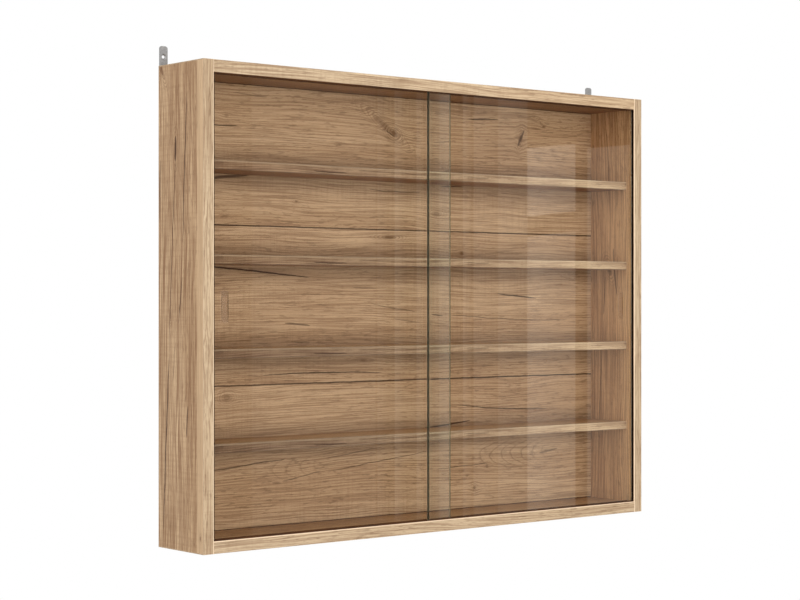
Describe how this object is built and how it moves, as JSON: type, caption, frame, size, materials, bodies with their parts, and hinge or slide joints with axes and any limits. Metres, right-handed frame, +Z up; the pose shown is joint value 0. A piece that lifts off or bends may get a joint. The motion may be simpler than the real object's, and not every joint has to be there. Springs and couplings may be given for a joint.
{
  "type": "wall mounted showcase",
  "caption": "Shallow wall cabinet with fixed shelves behind two glass doors that slide past each other, hung from hanger plates.",
  "frame": {"origin": "on the wall plane, midway between the two wall screw holes", "axes": "+X along the width to the right seen from the front, +Y towards the wall, +Z up"},
  "size_m": [0.8, 0.108, 0.6575],
  "materials": {
    "oak_boards": "matt oak decor with vertical or lengthwise grain",
    "oak_edges": "matt oak decor edge band",
    "oak_back": "matt oak decor with knots and plank joints, plain brown fibreboard behind",
    "track_plastic": "dark brown extruded plastic",
    "strip_rubber": "black rubber",
    "door_glass": "clear float glass with polished edges and a ground recess",
    "hanger_steel": "zinc plated, dull",
    "screw_steel": "zinc plated, slightly yellow",
    "cam_zinc": "die-cast zinc, dull grey",
    "cover_plastic": "oak coloured plastic",
    "dowel_wood": "raw beech"
  },
  "bodies": {
    "cabinet": {"side_panel_left": "oak_boards", "side_panel_right": "oak_boards", "top_panel": "oak_boards", "bottom_panel": "oak_boards", "back_panel": "oak_back", "shelf_1": "oak_boards", "shelf_2": "oak_boards", "shelf_3": "oak_boards", "shelf_4": "oak_boards", "edge_band_left": "oak_edges", "edge_band_right": "oak_edges", "edge_band_top": "oak_edges", "edge_band_bottom": "oak_edges", "end_bands_left": "oak_edges", "end_bands_right": "oak_edges", "shelf_band_1": "oak_edges", "shelf_band_2": "oak_edges", "shelf_band_3": "oak_edges", "shelf_band_4": "oak_edges", "upper_track": "track_plastic", "lower_track": "track_plastic", "dust_strip_left": "strip_rubber", "dust_strip_right": "strip_rubber", "hanger_plate_left": "hanger_steel", "hanger_plate_right": "hanger_steel", "hanger_screws": "screw_steel", "cam_bolts": "screw_steel", "cam_locks": "cam_zinc", "cam_covers": "cover_plastic", "carcass_dowels": "dowel_wood", "shelf_dowels": "dowel_wood", "back_panel_screws": "screw_steel"},
    "door_left": {"glass_door_left": "door_glass"},
    "door_right": {"glass_door_right": "door_glass"}
  },
  "joints": [
    {"name": "door_left_slide", "type": "slide", "parent": "cabinet", "child": "door_left", "axis": [1, 0, 0], "range_m": [0, 0.36]},
    {"name": "door_right_slide", "type": "slide", "parent": "cabinet", "child": "door_right", "axis": [1, 0, 0], "range_m": [-0.36, 0]}
  ]
}
